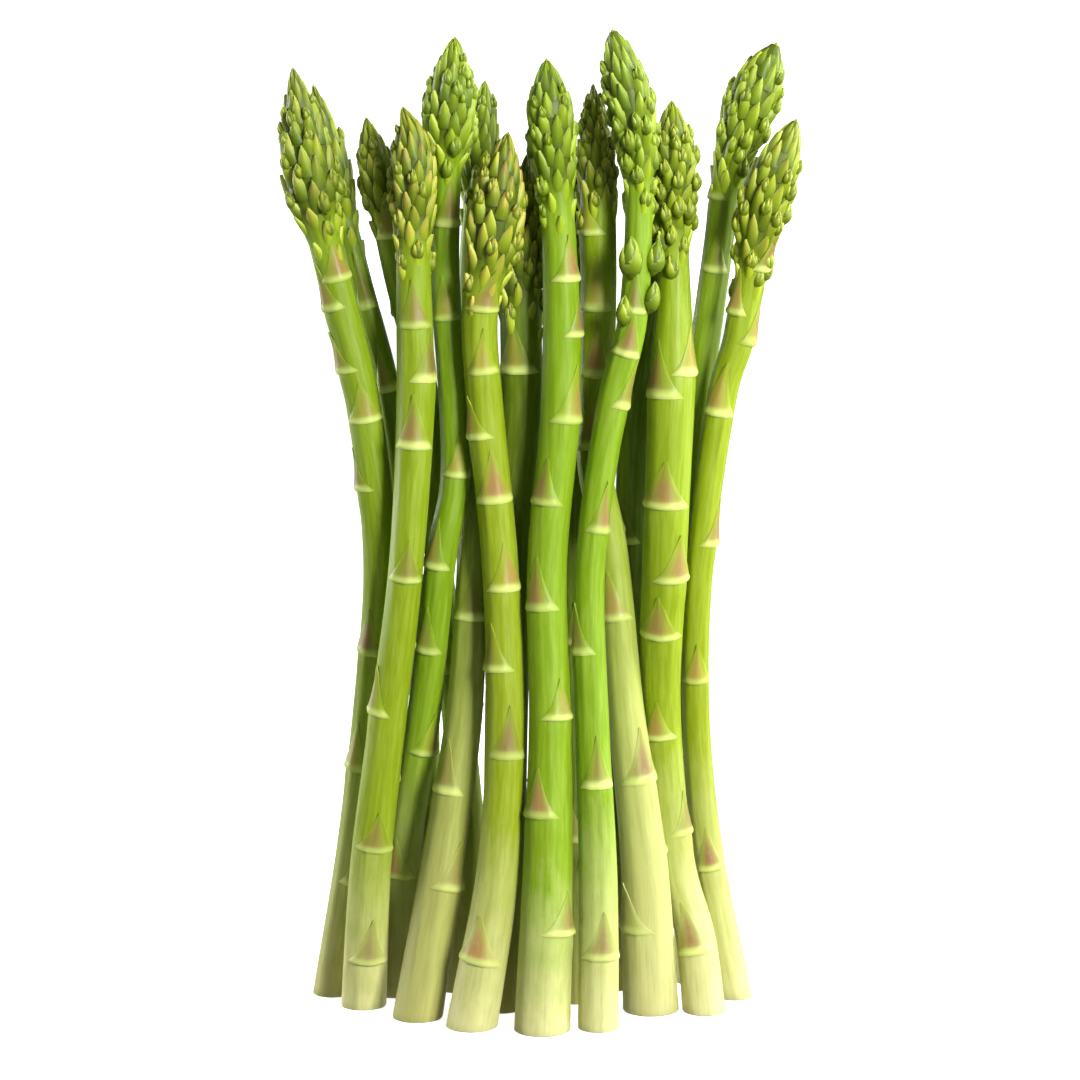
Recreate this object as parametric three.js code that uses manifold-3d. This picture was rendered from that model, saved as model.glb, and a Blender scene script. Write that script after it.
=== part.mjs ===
// Bundle of green asparagus standing on its cut ends.
// Millimetres, +Z up, the front of the bundle faces -Y, the cut ends lie on z = 0.
// Every spear grew as one piece, so its stem, scale leaves, head and buds are one solid.
import * as THREE from "three";
import Module from "manifold-3d";
import { mergeVertices } from "three/addons/utils/BufferGeometryUtils.js";

const wasm = await Module();
wasm.setup();
const { Manifold, Mesh: SolidMesh } = wasm;

// Stem
const STEM_SIDES = 10;
const STEM_STEP = 17;
const STEM_INTO_HEAD = 2;
const GIRTH_HEIGHTS = [0, 35, 70, 105, 145];
const TIP_RADIUS = 0.45;

// Head: rows of three pointed scales, each row turned so that its scales fill the gaps of the row below
const HEAD_SIDES = 12;
const SCALE_SIDES = 4;
const ROW_DRIFT = 9;
const ROW_FIRST = -0.1;
const ROW_LAST = 0.9;
const ROW_CROWDING = 0.9;
const POINT_RISE = 0.62;
const POINT_LIFT = 0.45;
const POINT_UNEVEN = 0.5;
const VALLEY_DEPTH = 0.35;
const STEP_HEIGHT = 0.35;
const STEP_SHARE = 0.84;
const HEAD_ROOT = 0.5;
const ROOT_DROP = 0.05;
const SPEAR_TURN = 47;
const POINTED = 0.8;
const HEAD_DRAWS = 100;
const ROW_DRAWS = 10;
const NECK_BLEND = -0.15;
const NECK_CLEAR = 4;

// Scale leaf on the stem: a triangle pressed flat, thickest along its lower ledge
const LEAF_LEDGE = 0.75;
const LEAF_POINT = 0.35;
const LEAF_SPAN = 50;
const LEAF_LENGTH = 9.5;
const LEAF_ROOT = 0.55;
const LEAF_POINT_SHARE = 0.08;
const BACK_SCATTER = 40;
const BACK_GAP = 30;
const LEAF_DRAWS = 7;

// Buds that stand out of a loose head
const BUD_LENGTH = 1.7;
const BUD_OUT = 0.2;

// Facets that differ by less than this are merged
const MERGE = 0.05;

// Surface
const WAXY_ROUGHNESS = 0.42;

// Centre of the bundle's footprint before it is moved over the origin
const CENTRE_X = 0;
const CENTRE_Y = 3.5;

// colour: overall colour of the spear.
// line: centre-line points from the cut end to the tip, [x, y, z].
// girth: stem radius at each of GIRTH_HEIGHTS, then at the foot of the head.
// head: length, largest radius, height of the largest radius as a share of the head, rows of scales.
// leaves: [height of the ledge, direction in degrees: 0 to the front, 90 to the right].
// buds: [height, direction, radius].
const SPEARS = [
  {
    name: "spear_01",
    colour: 0x6f8c2e,
    line: [[-48.5, 14.5, 0], [-43, 10.5, 35], [-38.8, 6.5, 70], [-36.2, 1, 105], [-39.6, -1, 140],
      [-46.2, -2, 170], [-50.4, -2.5, 188], [-54.6, -3, 215.5]],
    girth: [4.6, 4.2, 4, 3.9, 3.9, 3.7],
    head: { length: 38, radius: 6.4, peak: 0.3, rows: 7 },
    leaves: [[28, 30], [55, -40], [83, -30], [121, -80], [136.5, 5], [148, -75], [162, -50], [168, 30]],
  },
  {
    name: "spear_02",
    colour: 0x74962f,
    line: [[-28.5, 25, 0], [-27.5, 20, 35], [-26.8, 15, 70], [-30.5, 10, 105], [-33.9, 6, 140],
      [-41.1, 6, 170], [-50.9, 11, 211]],
    girth: [4, 3.7, 3.4, 3.1, 2.8, 2.5],
    head: { length: 33, radius: 4.1, peak: 0.4, rows: 6 },
    leaves: [[40, 160], [142.5, 0], [161, 10]],
  },
  {
    name: "spear_03",
    colour: 0x8a9c4a,
    line: [[-19.5, 18, 0], [-17, 14, 35], [-19.3, 10.5, 70], [-23.3, 8, 105], [-25.5, 6, 140],
      [-32.4, 4.5, 170], [-38.8, 5, 204]],
    girth: [4.3, 4.2, 3.5, 3, 2.9, 3],
    head: { length: 25, radius: 4.1, peak: 0.45, rows: 5 },
    leaves: [[45, 170], [110, 150], [160, -150], [177, 10]],
  },
  {
    name: "spear_04",
    colour: 0x94a84a,
    line: [[-40.7, 4, 0], [-38.6, 0, 35], [-34.3, -3.5, 70], [-30, -7.5, 105], [-27.8, -6.5, 140],
      [-28, -6, 170], [-28, -6, 197], [-30.3, -6, 207]],
    girth: [5.3, 4.7, 4.2, 3.9, 4.4, 3.9],
    head: { length: 33, radius: 5.2, peak: 0.5, rows: 7 },
    leaves: [[11.5, 15], [38.5, 17], [70, -60], [101.5, 5], [131, 0], [146, 50], [158, 0]],
  },
  {
    name: "spear_05",
    colour: 0x7d9c33,
    line: [[-33.7, 14, 0], [-31.6, 8.8, 35], [-26.3, 3, 70], [-22.3, -2.5, 105], [-19.2, -2, 122],
      [-19.3, -1.5, 140], [-21.2, 0, 170], [-20.3, 0, 200], [-18.8, 0, 222]],
    girth: [4.8, 4.3, 3.9, 3.5, 3.4, 3.2],
    head: { length: 29, radius: 5.9, peak: 0.35, rows: 7, blunt: 0.7 },
    leaves: [[30, -20], [60, 40], [84, -25], [103.5, -35], [124, 15], [159, -10], [180, 20]],
  },
  {
    name: "spear_06",
    colour: 0x9aa95a,
    line: [[-28, -6, 0], [-22.3, -4, 35], [-17.2, -1.5, 70], [-15.2, 1.4, 105], [-15.3, 6, 122],
      [-16, 7.5, 140], [-15.3, 7.5, 170], [-12.3, 8, 212]],
    girth: [5.8, 5, 4.3, 3.5, 3.2, 2.9],
    head: { length: 28, radius: 4.4, peak: 0.45, rows: 6 },
    leaves: [[30, 45], [51.5, -35], [91, 0], [130, 150]],
  },
  {
    name: "spear_07",
    colour: 0xa3ad52,
    line: [[-15.5, -13.5, 0], [-9.6, -12, 35], [-7.8, -10, 70], [-9, -7.5, 105], [-12.2, -7, 140],
      [-13.4, -7.5, 160], [-11, -8, 175], [-7, -8, 201.5]],
    girth: [6, 4.9, 4.4, 4.2, 4.1, 4],
    head: { length: 35, radius: 6.5, peak: 0.42, rows: 7 },
    leaves: [[14.8, -25], [61.5, 15], [81, -40], [99, 25], [119, 10], [133.5, -60], [148, 10], [162, 20]],
  },
  {
    name: "spear_08",
    colour: 0x8db53c,
    line: [[0.5, -16.5, 0], [1.7, -14, 35], [2.2, -11.5, 70], [1.6, -9, 105], [4.5, -7.5, 140],
      [4.3, -6.5, 175], [1.4, -6, 217.5]],
    girth: [6.6, 5.8, 4.8, 4.5, 4.4, 3.7],
    head: { length: 33, radius: 5.4, peak: 0.58, rows: 7 },
    leaves: [[22, 50], [48.5, -35], [70.5, 35], [95, -30], [118.5, -33], [137, 45], [156, 70], [168.3, 40]],
  },
  {
    name: "spear_09",
    colour: 0x5c6e22,
    line: [[-8.6, 1, 0], [-8.2, 3, 35], [-7.6, 4, 70], [-6.6, 3, 105], [-4.3, 3, 140], [-4.3, 3, 165],
      [-2.8, 3.5, 196]],
    girth: [4.8, 4.9, 5, 4.8, 4.8, 4.7],
    head: { length: 36, radius: 5.3, peak: 0.4, rows: 7 },
    leaves: [[30, 170], [75, -170], [110, 150], [147, -20]],
  },
  {
    name: "spear_10",
    colour: 0x8cb038,
    line: [[13.2, -15, 0], [13.1, -13, 35], [11.7, -11, 70], [11.2, -9, 105], [15.8, -8, 140],
      [20.5, -8, 160], [21.8, -8, 186], [20.6, -8.5, 204], [15.8, -9, 224]],
    girth: [4.7, 4.4, 3.8, 3.4, 3.5, 3],
    head: { length: 36, radius: 5.1, peak: 0.55, rows: 7, blunt: 0.55 },
    leaves: [[16, 20], [55, 15], [85, -60], [112.5, 35], [140.5, 60], [152, 0], [161.5, -5]],
    buds: [[174, -20, 2.9], [174, 75, 2.4], [165.5, 65, 2.2], [162, -30, 2.1]],
  },
  {
    name: "spear_11",
    colour: 0x9cab48,
    line: [[25.5, 0, 0], [23.7, -3, 35], [19.5, -2, 70], [16.3, 0.5, 105], [12.4, 2, 125],
      [12.4, 3, 140], [13.1, 3, 170], [11.8, 3, 211.5]],
    girth: [6.5, 5.4, 4.2, 3.8, 4.1, 4.2],
    head: { length: 29, radius: 4.3, peak: 0.3, rows: 6 },
    leaves: [[20, -60], [54, 40], [91, -20], [129.5, -10], [146, 0], [161, -15], [178, -40]],
  },
  {
    name: "spear_12",
    colour: 0x85a83c,
    line: [[37.7, -1, 0], [35.6, 2, 17], [31, 4.8, 35], [27.5, 3.3, 70], [28, -3, 105],
      [29.2, -3.5, 140], [29.8, -1.5, 170], [29.2, 0, 208]],
    girth: [5, 4.2, 4.7, 5.2, 5.4, 3.3],
    head: { length: 34, radius: 5.5, peak: 0.55, rows: 7 },
    leaves: [[13, -10], [40, 60], [63.5, -15], [88, -10], [101, 40], [117.5, -15], [142, -40], [147, 60]],
    buds: [[190, 60, 1.3], [188, -30, 1.3], [184, 38, 1.5], [181, 100, 1.2], [178, -10, 1.2]],
  },
  {
    name: "spear_13",
    colour: 0x9cb048,
    line: [[45.3, 11.5, 0], [38.8, 10.5, 35], [35.6, 7, 70], [36.2, 1.5, 105], [40.6, 1, 140],
      [44.4, 0.5, 155], [47.1, 0, 170], [50, -1, 186], [56.8, -2, 204]],
    girth: [4.2, 3.6, 3.2, 3.2, 3.4, 3.3],
    head: { length: 35, radius: 5.7, peak: 0.5, rows: 7, blunt: 0.65 },
    leaves: [[31, 0], [76, 10], [108, 75], [137.5, -15], [154, 80], [160, -50], [170.5, 65]],
  },
  {
    name: "spear_14",
    colour: 0x6d8f2a,
    line: [[36, 25, 0], [35, 20, 35], [34, 14.5, 70], [33.5, 9.5, 105], [35.8, 8, 140],
      [39.5, 8.5, 170], [42.3, 9, 190], [46.5, 9, 205], [52.9, 9, 220.5]],
    girth: [4.4, 4, 3.6, 3.3, 3.4, 3.3],
    head: { length: 32, radius: 6, peak: 0.55, rows: 7, blunt: 0.6 },
    leaves: [[35, 150], [80, 120], [125, 160], [169, -10], [185, -80]],
  },
  {
    name: "spear_15",
    colour: 0x5a6b1f,
    line: [[18, 20, 0], [19, 14, 35], [19.6, 9.9, 70], [20.2, 8.4, 105], [21.7, 7.4, 140], [25.6, 8.5, 170],
      [27, 10.5, 196]],
    girth: [4.4, 4, 3.7, 3.5, 3.4, 3],
    head: { length: 30, radius: 4.6, peak: 0.45, rows: 6 },
    leaves: [[40, 170], [85, 150], [130, 170]],
  },
  {
    name: "spear_16",
    colour: 0x4f6420,
    line: [[8, 8, 0], [8, 8.5, 35], [7.8, 9, 70], [7.5, 9.5, 105], [7.8, 11, 140], [8.3, 12, 170],
      [8.5, 12.5, 194]],
    girth: [4.2, 3.9, 3.6, 3.5, 3.2, 3],
    head: { length: 29, radius: 4.2, peak: 0.4, rows: 6 },
    leaves: [[38, -20], [84, 10], [128, 140], [158, -160]],
  },
];

// A repeatable number from 0 to 1 for any whole number.
function draw(n) {
  const s = Math.sin(n * 12.9898 + 4.1) * 43758.5453;
  return s - Math.floor(s);
}

function radians(degrees) {
  return (degrees * Math.PI) / 180;
}

// The frame of a spear at a height: a point on the centre-line, the way up along it, its front and its right.
function makeFrame(spear) {
  const points = spear.line.map(([x, y, z]) => new THREE.Vector3(x - CENTRE_X, y - CENTRE_Y, z));
  const curve = new THREE.CatmullRomCurve3(points, false, "catmullrom", 0.5);
  return (height) => {
    let low = 0;
    let high = 1;
    while (high - low > 1e-7) {
      const middle = (low + high) / 2;
      if (curve.getPoint(middle).z < height) low = middle;
      else high = middle;
    }
    const point = curve.getPoint(low);
    const up = curve.getTangent(low);
    const front = new THREE.Vector3(0, -1, 0).addScaledVector(up, up.y).normalize();
    const right = up.clone().cross(front);
    return { point, up, front, right };
  };
}

// The outline of a head: 1 at its widest, falling in a pointed arch to the tip.
function headRadius(spear, share) {
  const { radius, peak, blunt = POINTED } = spear.head;
  const neck = spear.girth[spear.girth.length - 1];
  if (share < peak) {
    const rise = THREE.MathUtils.smoothstep(share, NECK_BLEND * peak, peak);
    return neck + (radius - neck) * rise;
  }
  const fall = Math.min((1 - share) / (1 - peak), 1);
  return Math.max(radius * Math.sin((Math.PI / 2) * fall) ** blunt, TIP_RADIUS);
}

// Height at which the head begins.
function neckOf(spear) {
  return spear.line[spear.line.length - 1][2] - spear.head.length;
}

// Radius of the bare stem, and of the head's outline above it.
function girthAt(spear, height) {
  const neckHeight = neckOf(spear);
  if (height >= neckHeight) return headRadius(spear, (height - neckHeight) / spear.head.length);
  const heights = [...GIRTH_HEIGHTS.filter((z) => z < neckHeight - NECK_CLEAR), neckHeight];
  const radii = [...spear.girth.slice(0, heights.length - 1), spear.girth[spear.girth.length - 1]];
  let i = 0;
  while (i < heights.length - 2 && height > heights[i + 1]) i += 1;
  const share = THREE.MathUtils.clamp((height - heights[i]) / (heights[i + 1] - heights[i]), 0, 1);
  return THREE.MathUtils.lerp(radii[i], radii[i + 1], share);
}

// Moves a point given by direction, distance from the centre-line and height onto the spear.
function place(frameAt, angle, distance, height) {
  const { point, up, front, right } = frameAt(Math.max(height, 0));
  const spot = point.clone();
  spot.addScaledVector(front, distance * Math.cos(angle));
  spot.addScaledVector(right, distance * Math.sin(angle));
  if (height <= 0) spot.addScaledVector(up, -spot.z / up.z);
  return spot;
}

// Turns a closed geometry into a solid after each vertex has been moved by a rule.
function solidFrom(geometry, rule) {
  geometry.deleteAttribute("uv");
  geometry.deleteAttribute("normal");
  const welded = mergeVertices(geometry, 1e-5);
  const spots = welded.getAttribute("position");
  const vertProperties = new Float32Array(spots.count * 3);
  for (let i = 0; i < spots.count; i += 1) {
    const spot = rule(new THREE.Vector3().fromBufferAttribute(spots, i));
    vertProperties.set([spot.x, spot.y, spot.z], i * 3);
  }
  const triVerts = new Uint32Array(welded.getIndex().array);
  const solid = new Manifold(new SolidMesh({ numProp: 3, vertProperties, triVerts }));
  if (solid.volume() >= 0) return solid;
  for (let i = 0; i < triVerts.length; i += 3) {
    [triVerts[i], triVerts[i + 1]] = [triVerts[i + 1], triVerts[i]];
  }
  return new Manifold(new SolidMesh({ numProp: 3, vertProperties, triVerts }));
}

// The stem: one lathed rod bent along the centre-line, ending inside the head.
function makeStem(spear, frameAt) {
  const neckHeight = neckOf(spear);
  const steps = Math.round(neckHeight / STEM_STEP);
  const profile = [new THREE.Vector2(0, 0)];
  for (let i = 0; i <= steps; i += 1) {
    const height = (neckHeight * i) / steps;
    profile.push(new THREE.Vector2(girthAt(spear, height), height));
  }
  profile.push(new THREE.Vector2(0, neckHeight + STEM_INTO_HEAD));
  const lathe = new THREE.LatheGeometry(profile, STEM_SIDES);
  return solidFrom(lathe, (v) => {
    const distance = Math.hypot(v.x, v.z);
    return place(frameAt, Math.atan2(v.x, v.z), distance, v.y);
  });
}

// A pointed plate that hugs the spear: a block whose width, outer and inner radius change with height.
function makePlate(frameAt, turn, shape) {
  const block = new THREE.BoxGeometry(2, 1, 1, 2, 1, 1);
  return solidFrom(block, (v) => {
    const rise = v.y + 0.5;
    const height = shape.low + rise * shape.length;
    const half = radians(shape.span) * THREE.MathUtils.lerp(1, LEAF_POINT_SHARE, rise);
    const distance = v.z > 0 ? shape.outer(rise, height) : shape.inner(height);
    return place(frameAt, radians(turn) + v.x * half, distance, height);
  });
}

// Scale leaf on the stem.
function makeLeaf(spear, frameAt, height, turn) {
  return makePlate(frameAt, turn, {
    low: height,
    length: LEAF_LENGTH,
    span: LEAF_SPAN,
    outer: (rise, z) => girthAt(spear, z) + THREE.MathUtils.lerp(LEAF_LEDGE, LEAF_POINT, rise),
    inner: (z) => girthAt(spear, z) * LEAF_ROOT,
  });
}

// Every other scale leaf grows on the side turned away, one in each long bare stretch.
function hiddenLeaves(spear) {
  const added = [];
  for (let i = 0; i + 1 < spear.leaves.length; i += 1) {
    const [low, lowTurn] = spear.leaves[i];
    const [high, highTurn] = spear.leaves[i + 1];
    if (high - low > BACK_GAP) {
      const turn = (lowTurn + highTurn) / 2 + 180 + (draw(low + LEAF_DRAWS * i) - 0.5) * BACK_SCATTER;
      added.push([(low + high) / 2, turn]);
    }
  }
  return added;
}

// The head: a lathed shape whose rings zigzag, so that each row of scales ends in points over a step inwards.
function makeHead(spear, frameAt, seed) {
  const { length, rows } = spear.head;
  const neckHeight = neckOf(spear);
  const rowFoot = (row) => ROW_FIRST + (ROW_LAST - ROW_FIRST) * (row / rows) ** ROW_CROWDING;
  const lastRing = 2 * rows + 1;
  const profile = [new THREE.Vector2(0, 0)];
  for (let ring = 1; ring <= lastRing; ring += 1) profile.push(new THREE.Vector2(1, ring));
  profile.push(new THREE.Vector2(0, lastRing + 1));
  const lathe = new THREE.LatheGeometry(profile, HEAD_SIDES);
  return solidFrom(lathe, (v) => {
    const ring = Math.round(v.y);
    const onAxis = Math.hypot(v.x, v.z) < 0.5;
    if (onAxis && ring === 0) return place(frameAt, 0, 0, neckHeight + (ROW_FIRST - ROOT_DROP) * length);
    if (onAxis) return place(frameAt, 0, 0, neckHeight + length);
    const side = Math.round((Math.atan2(v.x, v.z) / (2 * Math.PI)) * HEAD_SIDES + HEAD_SIDES) % HEAD_SIDES;
    const row = Math.max(Math.ceil(ring / 2) - 1, 0);
    const turn = radians((side * 360) / HEAD_SIDES + row * ROW_DRIFT + seed * SPEAR_TURN);
    if (ring === 1) {
      const height = neckHeight + ROW_FIRST * length;
      return place(frameAt, turn, girthAt(spear, height) * HEAD_ROOT, height);
    }
    const tipRow = Math.floor(ring / 2) - 1;
    const around = (side + 2 * tipRow) % SCALE_SIDES;
    const point = 1 - Math.min(around, SCALE_SIDES - around) / (SCALE_SIDES / 2);
    const spacing = rowFoot(tipRow + 1) - rowFoot(tipRow);
    const share = rowFoot(tipRow) + spacing * (1 - POINT_RISE * (1 - point));
    const tipTurn = radians((side * 360) / HEAD_SIDES + tipRow * ROW_DRIFT + seed * SPEAR_TURN);
    const height = neckHeight + share * length;
    if (ring % 2 === 1) {
      return place(frameAt, tipTurn, girthAt(spear, height) * STEP_SHARE, height + STEP_HEIGHT);
    }
    const number = seed * HEAD_DRAWS + tipRow * ROW_DRAWS + Math.floor(side / SCALE_SIDES);
    const uneven = (draw(number) - 0.5) * POINT_UNEVEN;
    const lift = THREE.MathUtils.lerp(-VALLEY_DEPTH, POINT_LIFT + uneven, point);
    return place(frameAt, tipTurn, girthAt(spear, height) + lift, height);
  });
}

// Small pointed buds of a loose head, rooted in the stem.
function makeBuds(spear, frameAt) {
  return spear.buds.map(([height, turn, radius]) => {
    const middle = place(frameAt, radians(turn), girthAt(spear, height) + radius * BUD_OUT, height);
    const bud = new THREE.IcosahedronGeometry(radius, 0);
    return solidFrom(bud, (v) => new THREE.Vector3(v.x, v.y, v.z * BUD_LENGTH).add(middle));
  });
}

function makeSpear(spear, seed) {
  const frameAt = makeFrame(spear);
  const pieces = [makeStem(spear, frameAt), makeHead(spear, frameAt, seed)];
  for (const [height, turn] of [...spear.leaves, ...hiddenLeaves(spear)]) {
    pieces.push(makeLeaf(spear, frameAt, height, turn));
  }
  if (spear.buds) pieces.push(...makeBuds(spear, frameAt));
  return Manifold.union(pieces).trimByPlane([0, 0, 1], 0).simplify(MERGE);
}

// Turns a solid back into a named mesh.
function meshFrom(solid, name, colour) {
  const { vertProperties, triVerts, numProp } = solid.getMesh();
  const geometry = new THREE.BufferGeometry();
  const spots = new Float32Array((vertProperties.length / numProp) * 3);
  for (let i = 0; i < spots.length / 3; i += 1) {
    spots.set(vertProperties.subarray(i * numProp, i * numProp + 3), i * 3);
  }
  geometry.setAttribute("position", new THREE.BufferAttribute(spots, 3));
  geometry.setIndex(new THREE.BufferAttribute(new Uint32Array(triVerts), 1));
  geometry.computeVertexNormals();
  const material = new THREE.MeshStandardMaterial({ color: colour, roughness: WAXY_ROUGHNESS, metalness: 0 });
  const mesh = new THREE.Mesh(geometry, material);
  mesh.name = name;
  return mesh;
}

const bundle = new THREE.Group();
bundle.name = "asparagus_bundle";
SPEARS.forEach((spear, i) => bundle.add(meshFrom(makeSpear(spear, i + 1), spear.name, spear.colour)));

export default bundle;
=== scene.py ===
import math

import bpy
import numpy as np
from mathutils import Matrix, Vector


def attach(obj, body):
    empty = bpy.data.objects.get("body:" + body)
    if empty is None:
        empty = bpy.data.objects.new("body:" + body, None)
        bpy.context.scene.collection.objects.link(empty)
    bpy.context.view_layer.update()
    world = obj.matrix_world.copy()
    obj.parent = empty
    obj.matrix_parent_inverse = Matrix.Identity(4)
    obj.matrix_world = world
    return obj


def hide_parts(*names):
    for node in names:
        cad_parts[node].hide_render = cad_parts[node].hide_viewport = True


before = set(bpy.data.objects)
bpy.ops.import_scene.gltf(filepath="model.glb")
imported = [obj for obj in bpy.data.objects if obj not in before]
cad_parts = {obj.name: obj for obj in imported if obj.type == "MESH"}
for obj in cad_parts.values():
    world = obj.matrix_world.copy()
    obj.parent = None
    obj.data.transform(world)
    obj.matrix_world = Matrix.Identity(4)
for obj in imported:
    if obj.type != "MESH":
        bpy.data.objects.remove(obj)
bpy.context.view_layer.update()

MM = 0.001

# Camera and light
CAMERA_DISTANCE = 900
CAMERA_ELEVATION = 9
AIM = (0, -3.5, 109.3)
SENSOR_WIDTH = 36
LENS = 133
CLIP_NEAR = 0.05
CLIP_FAR = 100
WORLD_STRENGTH = 0.27
ROOM_HALF = 1.6
ROOM_HEIGHT = 3.0
FLOOR_GLOW = 0.85
WALL_GLOW = 1.1
SHEET_WHITE = "#f4f4f2"
SHEET_ROUGHNESS = 0.8
# Each light: name, place in metres, size in metres, power in watts
LIGHTS = [
    ("right_light", (0.75, 0.15, 0.35), 0.5, 10),
    ("left_light", (-0.7, 0.3, 0.25), 0.5, 8),
    ("front_light", (0.5, -0.75, 0.45), 0.3, 14),
]

# Stem
STEM_SIDES = 44
STEM_STEP = 1.9
LINE_SAMPLES = 60
GRAIN_STRETCH = 0.08
GRAIN_SHIFT = 11
CORE_SHARE = 0.84
CORE_SHORT = 0.6
CORE_BELOW_NECK = 1
CORE_THIN_BY = 0.3
GIRTH_HEIGHTS = [0, 35, 70, 105, 145]
GIRTH_BLEND = 7
NECK_CLEAR = 4
NECK_BLEND = -0.15
POINTED = 0.8
TIP_RADIUS = 0.45
FULLNESS = 0.98
OVAL = 0.012
OVAL_TWIST = 50
FLUTES = 9
FLUTE_DEPTH = 0.05
FLUTE_SWAY = 2
FLUTE_WAVE = 40
NODE_SWELL = 0.3
NODE_REACH = 3.5
NODE_SPREAD = 0.9
NODE_DROP = 1
RIDGE_HEIGHT = 0.16
RIDGE_TURN = 34
RIDGE_REACH = 22
RIDGE_SPREAD = 0.13
CUT_BLEND = 14
CUT_HOLLOW = 0.35
CUT_HOLLOW_FORM = 0.7
CUT_ROUNDING = 0.3
CUT_RING_AT = 0.3
CUT_RINGS = 5
CUT_RIM_MARK = 0.6
SHARP_ANGLE = 55

# Scale leaves on the stem
LEAF_ROWS = 14
LEAF_COLUMNS = 15
LEAF_CROWDING = 1.4
LEAF_LENGTH = 11
LEAF_SPAN = 88
LEAF_CLASP = 0.35
LEAF_CLASP_FALL = 5
LEAF_POINT = 0.03
LEAF_TAPER = 0.9
LEAF_CURL = 0.3
LEAF_LEDGE = 0.7
LEDGE_FALL = 1.6
LEDGE_THINS = 0.85
LEAF_KEEL = 0.15
LEAF_KEEL_SPREAD = 0.3
LEAF_SKIN = 0.1
LEAF_ROOT = 0.6
LEAF_THICKNESS = 0.25
# How fast the grain of a leaf runs across it, on from leaf to leaf, and along it
LEAF_GRAIN = (2.5, 5.0, 1.1)
# Shares of a leaf's length between which each thing sets in, or fades where the first is the larger
LEDGE_RISES = (-0.02, 0.06)
LEAF_LIFTS = (0.7, 1)
LEAF_FREE = (0.6, 0.9)
LEAF_GREENS = (0.0, 0.1)
BLUSH_BEGINS = (0.06, 0.2)
BLUSH_FADES = (0.4, 0.95)
RIM_FADES = (0.22, 0.06)
MARGIN_BEGINS = (0.15, 0.5)
# How strong each mark is, where it starts or spreads to, and how much of it is lost
LEAF_GREEN = 0.35
LEAF_MARGIN = 0.25
LEAF_EDGE_FROM = 0.7
BLUSH_LOST = 0.75
BLUSH_SPREAD = 0.7
RIM_LOST = 0.6
LEAF_VARIES = {
    "size": (0.85, 1.2),
    "lift": (0.0, 0.4),
    "strength": (0.45, 1.0),
    "bend": (-0.12, 0.12),
    "lean": (-0.3, 0.3),
}
LEDGE_VARIES = {
    "clasping": (0.7, 1.0),
    "depth": (0.6, 1.1),
    "glow": (0.45, 1.0),
}
BACK_GAP = 30
BACK_SCATTER = 40
LEAF_DRAWS = 7
LEAF_SEED = 1000

# Heads: scales in a spiral, each a golden turn on from the one below
GOLDEN_TURN = 137.5
SPEAR_TURN = 47
SCALES_A_ROW = 10
SPIRAL_FIRST = -0.28
SPIRAL_LAST = 0.9
SPIRAL_CROWDING = 0.75
SCALE_LOW = 8.0
SCALE_HIGH = 4.8
SCALE_HALF_LOW = 2.5
SCALE_HALF_HIGH = 1.7
SCALE_ROWS = 8
SCALE_COLUMNS = 7
SCALE_WIDEST = 80
SCALE_TAPER = 1.9
SCALE_POINT = 0.035
SCALE_ARCH = 0.3
SCALE_SINK = 0.3
SCALE_KEEL = 0.42
SCALE_THICKNESS = 0.25
KEEL_FOOT = 0.35
KEEL_FORM = 0.8
SWELL_AT = 0.55
SWELL_REACH = 0.25
POINT_LIFTS = (0.35, 1.0)
LEAST_OUTER = 0.05
LEAST_INNER = 0.02
SCALE_GRAIN = (2.2, 5.0, 1.3)
SCALE_EDGE_FROM = 0.55
TIP_BLUSHES = (0.3, 0.9)
EDGE_BLUSH_LOST = 0.5
SCALE_MARGIN = (0.2, 0.6)
# How fast the painted shade at a scale's foot, where the scales below overlap it, fades towards its tip; it
# is partly the scale's own deeper green
SHADE_FALL = 1.5
HEAD_GREEN = 0.8
HEAD_SCALE_SIZE = 2
HEAD_SEED = 77
TIP_GATHER = 1.2
TIP_CLOSED = 0.2
LOW_LIFT = 0.4
LOW_LIFT_SHARE = 0.1
LOW_VARIETY = 0.3
LIFT_LOST = 0.8
OPEN_LIFTS = 0.25
OPEN_NARROWS = 0.25
BULGE_OVER_BUD = 0.45
SCALE_VARIES = {
    "turn": (-9, 9),
    "reach": (0.88, 1.12),
    "blush": (0.3, 1.0),
    "lift": (0.15, 0.5),
    "bulge": (0.0, 0.25),
}

# Buds in the axils of the scales
BUDS_UP_TO = 0.7
BUD_STRETCH = 1.7
BUD_OUT = 0.2
BUD_SUNK = 0.35
BUD_CHANCE = 0.15
BUD_CHANCE_LOOSE = 0.55
BUD_SHRINKS = 0.4
BUD_TIGHT = 0.8
BUD_LOOSE = 0.3
BUD_BEYOND = 0.4
AXIL_LEAN = 0.1
LOOSE_LEAN = 0.12
BUD_FORM = 0.7
BUD_BLUNT = 0.8
BUD_LEAST = 0.12
BUD_VARIES = {
    "radius": (1.25, 1.75),
    "beyond": (0.2, 1.6),
    "turn": (-8, 8),
}
BUD_SEED = 500
BUD_CORE_RINGS = 6
BUD_CORE_SIDES = 8
BUD_CORE_TOP = 0.96
BUD_GRAIN = 0.2
# Painted shade on a bud's core, which shows only between its scales
BUD_SHADE = 0.7
BUD_SCALE_ROWS = 2
BUD_ROWS = 5
BUD_COLUMNS = 5
BUD_SCALE_SIZE = 0.7
BUD_SCALE_LENGTH = 0.6
BUD_SCALE_FIRST = 0.5
BUD_SCALE_SPAN = 66
BUD_SCALE_LIFT = 0.18
BUD_SCALE_BULGE = 0.08
BUD_SCALE_TURN = (-8, 8)
SCALES_ROUND = 3
ROW_TURN = 60

# Centre of the bundle's footprint before it is moved over the origin
CENTRE_Y = 3.5
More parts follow.
